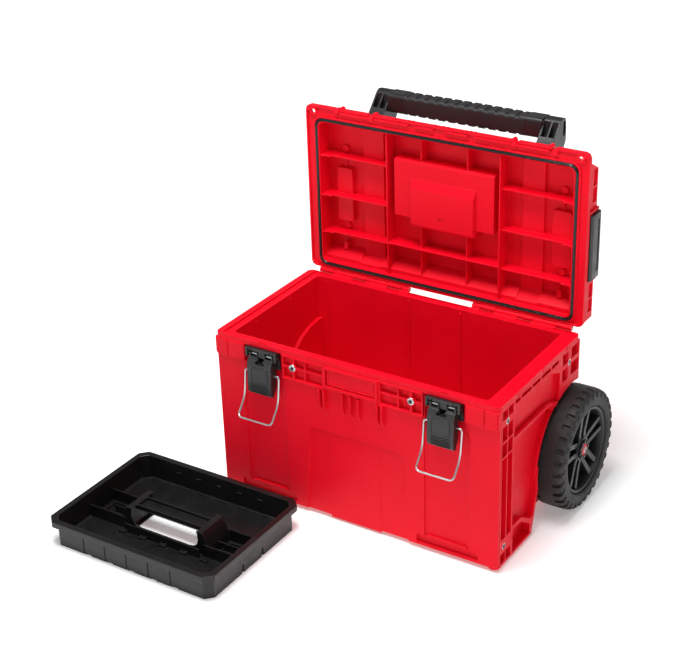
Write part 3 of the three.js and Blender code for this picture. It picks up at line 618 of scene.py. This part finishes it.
def lid():
    ceiling, wall = 327.5, 240.5      # y just inside the ceiling, x just inside the side wall
    cuts, add = [], []
    # side shelves stand back in the middle and run forward again at the outer wall
    shelf = [(109, 302.5), (219, 302.5), (239.5, 293.6), (wall, 293.6), (wall, ceiling), (109, ceiling)]
    for z in (75, 145, 218):
        cuts += both([block((109.2, 221), (290, 302.2), (up(z - 2), up(z + 2)))])
        add += both([prism("z", shelf, up(z - 1.3), up(z + 1.3))])
    # broad raised strips on the ceiling
    for x0, x1 in ((-168, -127), (138, 177)):
        add.append(prism("y", rounded(x0, x1, up(21), up(281), 2), 320.5, ceiling))
    # sloped ledge along the hinge side, lower across the strips
    slope = [(ceiling, up(45)), (302.5, up(29)), (302.5, up(19)), (ceiling, up(19))]
    for x0, x1 in ((-wall, -168.2), (177.2, wall), (-126.8, -108), (108, 137.8), (-107, 107)):
        add.append(prism("x", slope, x0, x1))
    low = [(321, up(37)), (302.5, up(26.5)), (302.5, up(19)), (321, up(19))]
    for x0, x1 in ((-168.3, -126.7), (137.7, 177.3)):
        add.append(prism("x", low, x0, x1))
    # long bosses and round bosses in the side columns
    for x0, x1 in ((-221, -190), (194, 228)):
        xm = (x0 + x1) / 2
        add += [prism("y", rounded(x0, x1, up(94), up(193), 4), 317.5, ceiling),
                rod("y", 6.5, 322.5, ceiling, (xm, up(227)), 24),
                rod("y", 6.5, 322.5, ceiling, (xm, up(84)), 24),
                block(span(xm, 1.6), (323.5, ceiling), (up(193), up(203))),
                rod("y", 4.0, 314, ceiling, (xm, up(52)), 20),
                block(span(xm, 4), (314, ceiling), (up(40), up(52)))]
    # round stops and small tabs along the free edge
    add += [rod("y", 4.2, 296, 306, (x, up(306.2)), 24) for x in (-196, -130, 130, 196)]
    add += [block(span(x, 1.8), (292.6, 298), (up(306), up(310.2))) for x in (-62, -54, -12, 4, 12, 54, 62)]
    add += [block(span(x, 9), (292.6, 296), (up(306), up(308.9))) for x in (-230, 230)]
    # channel outside the gasket and a lip round the very edge
    outer = prism("y", rounded(-262, 262, up(9.8), up(304.4), 9, steps=1), 290, 295.4)
    inner = prism("y", rounded(-251, 251, up(11.6), up(290.6), 17), 289, 297)
    cuts.append(combined(outer, ("DIFFERENCE", [inner])))
    corner = (250, up(297.5))
    add += both([rod("y", 7.4, 292.4, 297.6, corner, 28)])
    for x in ((-196, -138), (-128, -62), (-50, -14), (8, 50), (62, 128), (138, 196)):
        add.append(block(x, (291.0, 296), (up(299.4), up(303.4))))
    late = both([rod("y", 3.9, 285, 345, corner, 28), rod("y", 7.8, 297.4, 345, corner, 28)])
    # central block with sloped flanks and a dimple
    profile = [(328, up(121)), (298, up(121)), (294.6, up(123.5)), (293.6, up(128)), (293.6, up(189)),
               (295, up(193)), (300.8, up(205)), (328, up(207))]
    flanks = [prism("z", [(-70, 290), (-58, 290), (-61, 303), (-70, 303)], up(100), up(220)),
              prism("z", [(59, 290), (70, 290), (70, 303), (62, 303)], up(100), up(220))]
    add.append(combined(prism("x", profile, -60.5, 61.5), ("DIFFERENCE", flanks)))
    late.append(rod("y", 4.4, 290, 295.6, (-2, up(142)), 32))
    # the big block's edge away from the hinge is bevelled
    late.append(prism("x", [(300, up(231)), (307, up(240)), (296, up(240)), (296, up(231))], -100, 100))
    # open cells along the lid's side faces
    for z0, z1 in ((22, 44), (48, 72), (216, 240), (244, 271)):
        late += both([block((257.5, 275), (321, 334), (up(z0), up(z1)))])
    # ears on the flange
    add += [rod("y", 5.0, 290.4, 301, (x, up(z)), 28)
            for x, z in ((-202, 304), (-134, 301.6), (134, 302.4), (206, 301.4))]
    skin("lid_shell", RED, ("DIFFERENCE", cuts), ("UNION", add), ("DIFFERENCE", late), width=0.8)


lid()


def gasket():
    outline = rounded(-245, 245, up(15.5), up(284.5), 15, steps=10)
    path = []
    for i, (x, z) in enumerate(outline):
        px, pz = outline[i - 1]
        qx, qz = outline[(i + 1) % len(outline)]
        along = Vector((qx - px, 0, qz - pz)).normalized()
        path.append((at(x, 0, z), Vector((along.z, 0, -along.x)), Vector((0, 1, 0))))
    # two rounded lips with a valley between them, on a flat foot
    section = [(-2.5, 295.2), (-2.5, 293.2), (-2.2, 292.0), (-1.5, 291.3), (-0.8, 291.5), (0, 292.6),
               (0.8, 291.5), (1.5, 291.3), (2.2, 292.0), (2.5, 293.2), (2.5, 295.2)]
    piece("gasket_skin", sweep(path, section), "lid", GASKET, ("lid_gasket",), crease=60)


gasket()

for side, s in SIDES:
    ridges = [block((269.2, 270.2), (311, 324), (up(z), up(z + 1.6))) for z in range(96, 190, 6)]
    ridges = ridges if s > 0 else [mirrored(m) for m in ridges]
    skin("side_clip_" + side, BLACK, ("UNION", ridges), width=0.7, segments=3)

# ------------------------------------------------------------------ lid handle


def handle():
    pocket = [(340, up(268)), (362, up(303)), (363, up(318)), (377, up(318)), (377, up(300)), (362, up(272)),
              (352, up(262)), (340, up(262))]
    cuts = both([prism("x", pocket, 147.6, 158.6)]) + both([prism("x", pocket, 161.2, 171.6)])
    cuts += both([prism("x", rounded(388, 396.5, up(292), up(317), 3), 171.6, 190)])
    skin("handle_frame", BLACK, ("DIFFERENCE", cuts), width=1.0, segments=3)


handle()


def grip():
    """A square bar with lands and grooves across its top and bottom, and fine lines on its sides."""
    grip_y, grip_z = 383.0, up(306)
    half, corner, shrink = 17.0, 6.5, 0.6
    half_length, steps = 114.7, 296
    pitch, land, groove, line_depth = 19.0, 0.62, 2.0, 0.35
    section = rounded(-half, half, -half, half, corner)
    bm = bmesh.new()
    rings = []
    for i in range(steps + 1):
        x = -half_length + 2 * half_length * i / steps
        edge = half_length - abs(x)
        phase = ((x + 9.5) % pitch) / pitch
        step = 0.0 if phase < land or edge < 6 else groove
        line = line_depth if i % 3 == 0 and edge > 4 else 0.0
        swell = shrink * math.cos((x / half_length) * math.pi / 2)
        ring = []
        for a, b in section:
            y, z = a, b
            if abs(b) > half - corner:
                z = math.copysign(abs(b) - step * (abs(b) - half + corner) / corner, b)
            if abs(b) < half - corner - 1:
                y = a - math.copysign(line, a)
            point = at(x, grip_y + y * (1 - shrink / half), grip_z + z + math.copysign(swell, b) - shrink)
            ring.append(bm.verts.new(point))
        rings.append(ring)
    mesh = joined_rings(bm, rings, closed=False)
    piece("grip_skin", mesh, "handle", GRIP, ("handle_grip",), crease=30)


grip()

# ------------------------------------------------------------------ latches
LATCH_X = 170.0
LEVER_PIVOT, BAIL_PIVOT = (-1, up(-20.5)), (-4.0, up(-52))     # (y, z)


def lever_panel(x):
    """The raised field on a lever's face with a thin border round it."""
    raised = [(-14.2, up(-38)), (-15.6, up(-69)), (-11, up(-69)), (-11, up(-38))]
    sunk = [(-20, up(-38)), (-20, up(-69)), (-14.2, up(-69)), (-12.8, up(-38))]
    outer = prism("y", rounded(*span(x, 16.6), up(-67.6), up(-39.4), 5.5), -20, 0)
    inner = prism("y", rounded(*span(x, 15.2), up(-66.2), up(-40.8), 4.2), -30, 0)
    well = combined(prism("x", sunk, *span(x, 17)), ("INTERSECT", [inner]))
    return combined(prism("x", raised, *span(x, 17)), ("INTERSECT", [outer]), ("DIFFERENCE", [well]))


def latches():
    half = 23.4
    profile = [(-9.4, up(-27.6)), (-12.6, up(-38)), (-14.0, up(-70)), (-13.6, up(-84)), (-11.4, up(-89)),
               (-6.4, up(-90)), (-0.6, up(-77)), (2.8, up(-60)), (3.4, up(-44)), (3.0, up(-27.6))]
    neck = [(-5.6, up(-20.5)), (-5.6, up(-26)), (-9.3, up(-27.7)), (2.8, up(-29)), (3.0, up(-20.5))]
    for side, s in SIDES:
        x = LATCH_X * s
        holes = [block(span(x + k, 1.6), (-8, -3), (up(-13.2), up(-11))) for k in (-25, -19, 19, 25)]
        skin("latch_base_" + side, BLACK, ("DIFFERENCE", holes), width=0.5)
        # two eyes on the pivot pin, with a window in each and a notch between them
        eyes = []
        for low, high in ((x - half, x - 6.8), (x + 6.8, x + half)):
            eyes += [rod("x", 4.7, low, high, LEVER_PIVOT, 24), prism("x", neck, low, high)]
        cuts = [block(span(x + k, 6.2), (-12, -0.6), (up(-24.6), up(-15))) for k in (-14.4, 14.4)]
        cuts += [rod("x", 2.1, *span(x, 30), LEVER_PIVOT, 20),
                 block(span(x, 5.4), (-20, 6), (up(-35), up(-24))),
                 block(span(x, 8.6), (-20, -4), (up(-35), up(-30))),
                 block(span(x, 20), (-5, 8), (up(-74), up(-44)))]
        lines = [block(span(x, 17), (-15.5, -12), (up(z - 0.75), up(z + 0.75)))
                 for z in (-71.6, -75.0, -78.4, -81.8, -85.2)]
        wire = rod("x", 1.95, *span(x, 30), BAIL_PIVOT, 16)
        mesh = combined(prism("x", profile, *span(x, half)), ("UNION", eyes), ("DIFFERENCE", cuts),
                        ("UNION", [lever_panel(x), *lines]), ("DIFFERENCE", [wire]))
        node = "latch_lever_" + side
        piece(node + "_skin", softened(mesh, 0.7, 3), BODY_OF[node], BLACK, (node,))


latches()


def bails():
    """One bent wire in each latch: its ends in the lever, its middle across the front."""
    half, wire, arc_steps = 33.5, 1.6, 8
    leg = [(24, *BAIL_PIVOT), (half, *BAIL_PIVOT), (half, -10, up(-100)), (half, -33, up(-129))]
    corners = [Vector(p) for p in leg] + [Vector((-x, y, z)) for x, y, z in leg[::-1]]
    line = [corners[0]]
    bends = (5.0, 14.0, 9.0, 9.0, 14.0, 5.0)
    for before, corner, after, bend in zip(corners, corners[1:], corners[2:], bends):
        back = corner + (before - corner).normalized() * bend
        fore = corner + (after - corner).normalized() * bend
        for k in range(arc_steps + 1):
            t = k / arc_steps
            line.append(back.lerp(corner, t).lerp(corner.lerp(fore, t), t))
    line.append(corners[-1])
    for side, s in SIDES:
        path = []
        lift = Vector((0, 1, 0))
        for i, p in enumerate(line):
            along = (line[min(i + 1, len(line) - 1)] - line[max(i - 1, 0)]).normalized()
            across = along.cross(lift).normalized()
            lift = across.cross(along).normalized()
            path.append((at(LATCH_X * s + p.x, p.y, p.z), across, lift))
        mesh = sweep(path, circle(0, 0, wire, 14), closed=False)
        piece("bail_skin_" + side, mesh, "latch_bail_" + side, ZINC, ("latch_bail_" + side,),
              crease=60)


bails()

# ------------------------------------------------------------------ screws
HEAD_HIGH = 2.5


def lathe(profile, steps):
    """Turns an open (radius, height) profile that starts and ends on the z axis."""
    bm = bmesh.new()
    rings = [[bm.verts.new(Vector((a, b, h)) * MM) for a, b in (circle(0, 0, r, steps) if r else [(0, 0)])]
             for r, h in profile]
    for a, b in zip(rings, rings[1:]):
        for i in range(steps):
            j = (i + 1) % steps
            if len(a) == 1:
                bm.faces.new((a[0], b[i], b[j]))
            elif len(b) == 1:
                bm.faces.new((a[i], b[0], a[j]))
            else:
                bm.faces.new((a[i], b[i], b[j], a[j]))
    return closed_mesh(bm)


def screws():
    """Pan-head screws with a star recess and a dark plug in it as painted shade, one for each CAD screw."""
    points = 12
    star = [(r * math.cos(t), r * math.sin(t))
            for r, t in [(4.0 if i % 2 == 0 else 3.4, 2 * math.pi * i / points) for i in range(points)]]
    profile = [(0.0, HEAD_HIGH), (4.8, HEAD_HIGH), (5.7, 2.1), (6.3, 1.3), (6.4, 0.5), (6.3, 0.0), (2.1, 0.0),
               (2.1, -9.0), (0.0, -9.0)]
    for node in [n for n in frame["nodes"] if "screw" in n]:
        low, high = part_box(node)
        centre = (low + high) / 2
        sign = 1.0 if node.endswith("_right") else -1.0
        if node.startswith("front_screw"):
            face = (centre.x, low.y + HEAD_HIGH * MM, centre.z)
            turned = Matrix.Rotation(math.pi / 2, 4, "X")
        else:
            face = ((high.x if sign > 0 else low.x) - sign * HEAD_HIGH * MM, centre.y, centre.z)
            turned = Matrix.Rotation(sign * math.pi / 2, 4, "Y")
        place = Matrix.Translation(face) @ turned
        cutter = bmesh.new()
        floor, top = ([cutter.verts.new(Vector((a, b, h)) * MM) for a, b in star] for h in (0.2, 4.0))
        cutter.faces.new(floor[::-1])
        cutter.faces.new(top)
        for i in range(points):
            j = (i + 1) % points
            cutter.faces.new((floor[i], floor[j], top[j], top[i]))
        mesh = combined(lathe(profile, 28), ("DIFFERENCE", [closed_mesh(cutter)]))
        mesh.transform(place)
        piece(node + "_skin", mesh, "chest", ZINC, (node,), crease=45)
        # a dark plug in the star recess: painted shade where the recess lies in shadow
        shade_plug = bmesh.new()
        top, floor = ([shade_plug.verts.new(Vector((a * 0.8, b * 0.8, h)) * MM) for a, b in star]
                      for h in (0.45, 0.1))
        pit = shade_plug.verts.new(Vector((0, 0, 0.25)) * MM)
        for i in range(points):
            j = (i + 1) % points
            shade_plug.faces.new((floor[i], floor[j], top[j], top[i]))
            shade_plug.faces.new((top[i], top[j], pit))
        shade_plug.faces.new(floor[::-1])
        mesh = closed_mesh(shade_plug)
        mesh.transform(place)
        piece(node + "_recess_shade", mesh, "chest", SOCKET_SHADE, crease=45)


screws()

# ------------------------------------------------------------------ wheels


def tyre_mesh():
    """Outer face at WHEEL_OUT; shoulder lugs on both sides of a smooth middle band."""
    lugs, gap, notch = 32, 4.6, 2.2
    bm = bmesh.new()
    rings = []
    for k in range(lugs):
        start = 2 * math.pi * k / lugs
        step = 2 * math.pi / lugs
        for part, shoulder, flank in ((0.0, 0, 1), (0.05, 1, 1), (0.25, 1, 1), (0.30, 1, 0), (0.58, 1, 0),
                                      (0.63, 0, 0), (0.78, 0, 0), (0.83, 0, 1)):
            low = 0.0 if shoulder else gap
            dent = 0.0 if flank else notch
            half = [(76.0, 5.0), (78.5, 2.2), (82.0, 0.9), (86.0, 0.5), (88.0, 1.2), (90.0, 1.2), (91.5, 0.4),
                    (94.0, 0.3 + dent), (98.0, 0.9 + dent), (101.0 - low * 0.4, 2.8 + dent),
                    (103.3 - low, 6.0), (104.6 - low, 10.5), (105.2 - low * 0.75, 17.0),
                    (105.3 - low * 0.1, 18.2), (105.3, 22.0)]
            profile = [(r, WHEEL_OUT - a) for r, a in half]
            profile += [(r, WHEEL_OUT - WHEEL_WIDE + a) for r, a in half[::-1]]
            rings.append(wheel_ring(bm, profile, start + part * step))
    return joined_rings(bm, rings)


def about_axle(mesh, angle):
    centre = at(0, *AXLE)
    spin = Matrix.Translation(centre) @ Matrix.Rotation(angle, 4, "X") @ Matrix.Translation(-centre)
    return moved(mesh, spin)


def rim_mesh():
    out, edge, bore, root, spokes = WHEEL_OUT, 75.4, 6.4, 36.5, 5
    ring = revolve([(edge, out - 56), (edge, out - 5.6), (edge - 1.2, out - 4.4), (edge - 4.2, out - 4.4),
                    (edge - 6.4, out - 7.5), (edge - 8.2, out - 14), (edge - 9.4, out - 30),
                    (edge - 5, out - 56)], 96)
    web = revolve([(bore, out - 40), (edge - 4, out - 40), (edge - 4, out - root), (bore, out - root)], 96)
    hub = revolve([(bore, out - 56), (18, out - 56), (20, out - 22), (21.5, out - 12), (20.6, out - 10.2),
                   (bore, out - 10.2)], 64)
    adds = [web, hub]
    # a bar's (x, radius) profile is made lying in (x, y) and stood up above the axle
    profile = [(out - root, 17), (out - 12, 17), (out - 12, 30), (out - 7.4, 67), (out - root, 67)]
    stand = (Matrix.Translation(at(0, *AXLE)) @ Matrix.Rotation(math.radians(90), 4, "X")
             @ Matrix.Translation(-at(0, 0, 0)))
    for i in range(spokes):
        for bend in (-1, 1):       # the two bars of a twin spoke
            bar = moved(prism("z", profile, -4.3, 4.3), stand)
            bar = moved(bar, Matrix.Translation((0, bend * 7.2 * MM, 0)))
            bar = about_axle(bar, -bend * math.radians(4.2))
            adds.append(about_axle(bar, i * 2 * math.pi / spokes))
    well = rod("x", 12.2, out - 18, out + 5, AXLE, 48)
    return softened(combined(ring, ("UNION", adds), ("DIFFERENCE", [well])), 0.9, 3, sharp=34)


def cap_meshes():
    """The lobed hub cap, its red disc and the steel ring on the disc."""
    out, back = WHEEL_OUT, WHEEL_OUT - 9.9
    lobes = [rod("x", 3.4, back, out - 6.2, centre, 20) for centre in circle(*AXLE, 13.2, 8)]
    well = rod("x", 10.4, out - 8.6, out, AXLE, 48)
    cap = combined(rod("x", 16.8, back, out - 7.6, AXLE, 64), ("UNION", lobes), ("DIFFERENCE", [well]))
    red_disc = rod("x", 10.0, out - 8.5, out - 7.2, AXLE, 48)
    ring = revolve([(3.2, out - 7.1), (5.4, out - 7.1), (5.4, out - 6.2), (5.0, out - 5.8), (3.6, out - 5.8),
                    (3.2, out - 6.2)], 40)
    return softened(cap, 0.5), softened(red_disc, 0.4), ring


def wheels():
    tyre, rim = tyre_mesh(), rim_mesh()
    cap, red_disc, ring = cap_meshes()
    for side, s in SIDES:
        for name, mesh, look, slot, node, crease in (
                ("tyre_skin_", tyre, TYRE, "tyre_rubber", ("tyre_" + side,), 42),
                ("rim_skin_", rim, WHEEL, "wheel_plastic", ("wheel_rim_" + side,), 40),
                ("cap_skin_", cap, WHEEL, "wheel_plastic", ("hub_cap_" + side,), 40),
                ("cap_disc_", red_disc, RED, "red_shell", (), 40),
                ("cap_ring_", ring, ZINC, "zinc_steel", (), 40)):
            shape = mesh.copy() if s > 0 else mirrored(mesh)
            piece(name + side, shape, "wheel_" + side, look, node, crease)


wheels()
for node in [n for n in frame["nodes"] if n.startswith(("axle_bracket", "axle_nut"))]:
    skin(node, LOOK[SLOT_OF[node]], width=0.5)

# ------------------------------------------------------------------ tray


def tray():
    """The tray's own (u, v) start at its left front corner."""
    length, width, floor = 336.0, 255.0, 2

    def tb(u, v, z):
        return block((TRAY_X + u[0], TRAY_X + u[1]), (TRAY_Y + v[0], TRAY_Y + v[1]), z)

    # upright ribs and grooves on the outside
    add = [tb(span(u, 2.6), (8, 9.4), (0, 30.6)) for u in (58, 108, 158, 208, 258)]
    add += [tb((length - 9.6, length - 8), span(v, 5.4), (0, 14.6)) for v in (92, 166)]
    cuts = []
    for u in (72.5, 117, 161.5, 206, 250.5):
        cuts += [tb(span(u, 1.2), (6, 9.3), (-1, 36)), tb((u + 4, u + 15), (6, 14), (-1, 1.5))]
    cuts += [tb((length - 9.9, length - 6), span(v, 2.7), (-1, 15)) for v in (96, 150)]
    # low sloped foot round each compartment, with flat tabs along the back
    for v0, v1, rise, fall in ((10.2, 14.5, 5.4, 2.4), (width - 14.5, width - 10.2, 2.4, 5.4)):
        foot = [(TRAY_Y + v0, floor), (TRAY_Y + v1, floor), (TRAY_Y + v1, fall), (TRAY_Y + v0, rise)]
        add.append(prism("x", foot, TRAY_X + 21.5, TRAY_X + length - 21.5))
    for u0, u1, rise, fall in ((10.2, 15, 6, 2.4), (length - 15, length - 10.2, 2.4, 6)):
        foot = [(TRAY_X + u0, floor), (TRAY_X + u1, floor), (TRAY_X + u1, fall), (TRAY_X + u0, rise)]
        for v in ((21.5, 95), (160, width - 21.5)):
            add.append(prism("y", foot, TRAY_Y + v[0], TRAY_Y + v[1]))
    for u in (94, 136, 178, 221, 263):
        add += [tb(span(u, 10), (width - 16.5, width - 10), (floor, 5.2)),
                tb((u - 13, u + 1), (82, 89.6), (floor, 7.4))]
    for u in (85, 128, 171, 214, 257):
        add += [tb(span(u, 4.5), (width - 11.8, width - 10), (30, 31.4)),
                tb(span(u, 0.7), (width - 11.0, width - 10), (floor, 30))]
    # scored lines across the floor
    for u in (83, 125, 167, 209, 251):
        cuts += [tb(span(u, 0.8), v, (1.3, 4)) for v in ((19, 81), (168, 236))]
    # plates joining the posts along both sides of the hand hole
    half = [(76, 2), (76, 19), (79, 23), (89.6, 46), (101.5, 46), (99.8, 41), (99, 31), (100.2, 24),
            (104, 18.2), (110, 14.6), (118, 13.4)]
    outline = [(TRAY_X + u, z) for u, z in half + [(length - u, z) for u, z in half[::-1]]]
    add += [prism("y", outline, TRAY_Y + v0, TRAY_Y + v1) for v0, v1 in ((98.4, 101), (154, 156.6))]
    add += [tb((92, length - 92), v, (1, 4)) for v in ((90, 99), (156, 165))]
    add += [tb(u, (99, 156), (42.6, 46)) for u in ((90.6, 100.5), (length - 100.5, length - 90.6))]
    # low frames standing on the end shelves' floors
    for u in ((22, 70), (length - 70, length - 22)):
        inside = tb((u[0] + 2, u[1] - 2), (110, 145), (3, 12))
        add.append(combined(tb(u, (108, 147), (floor, 8)), ("DIFFERENCE", [inside])))
    skin("tray", TRAY, ("UNION", add), ("DIFFERENCE", cuts), width=0.8)


tray()

# ------------------------------------------------------------------ floor, light


def area(name, position, target, size, power):
    data = bpy.data.lights.new(name, "AREA")
    data.shape = "RECTANGLE"
    data.size, data.size_y = size
    data.energy = power
    lamp = bpy.data.objects.new(name, data)
    lamp.location = position
    lamp.rotation_euler = (Vector(target) - Vector(position)).to_track_quat("-Z", "Y").to_euler()
    bpy.context.scene.collection.objects.link(lamp)


def studio():
    # the floor glows more the further it is from the object, and the sky is bright near the horizon
    floor_material, tree, shader = new_material("floor")
    for name, value in (("Base Color", (0.95, 0.95, 0.95, 1)), ("Emission Color", (1.0, 1.0, 1.0, 1)),
                        ("Roughness", 0.85), ("Specular IOR Level", 0.1)):
        shader.inputs[name].default_value = value
    distance = add_node(tree, "ShaderNodeVectorMath", {}, {0: coordinates(tree)}, operation="LENGTH")
    glow = map_range(tree, distance.outputs["Value"], (0.5, 2.6), (0.26, 0.95))
    tree.links.new(glow, shader.inputs["Emission Strength"])
    bm = bmesh.new()
    bmesh.ops.create_grid(bm, x_segments=1, y_segments=1, size=40.0)
    floor = bpy.data.objects.new("floor", as_mesh(bm, "floor"))
    floor.data.materials.append(floor_material)
    bpy.context.scene.collection.objects.link(floor)
    world = bpy.data.worlds.new("studio")
    world.use_nodes = True
    tree = world.node_tree
    background = tree.nodes["Background"]
    background.inputs["Color"].default_value = (1.0, 1.0, 1.0, 1)
    split = add_node(tree, "ShaderNodeSeparateXYZ", {}, {"Vector": coordinates(tree, "Generated")})
    sky = map_range(tree, split.outputs["Z"], (0.13, 0.24), (0.92, 0.15))
    tree.links.new(sky, background.inputs["Strength"])
    bpy.context.scene.world = world
    area("overhead", (0.0, -0.45, 2.7), (0.05, 0.05, 0.2), (1.2, 1.0), 76)
    area("left", (-1.3, -1.7, 2.0), (0.0, 0.0, 0.25), (1.0, 1.0), 5)
    area("right", (1.5, -0.5, 2.3), (0.0, 0.0, 0.2), (1.0, 1.0), 9)
    bpy.context.scene.view_settings.view_transform = "Standard"
    bpy.context.scene.view_settings.look = "None"


studio()
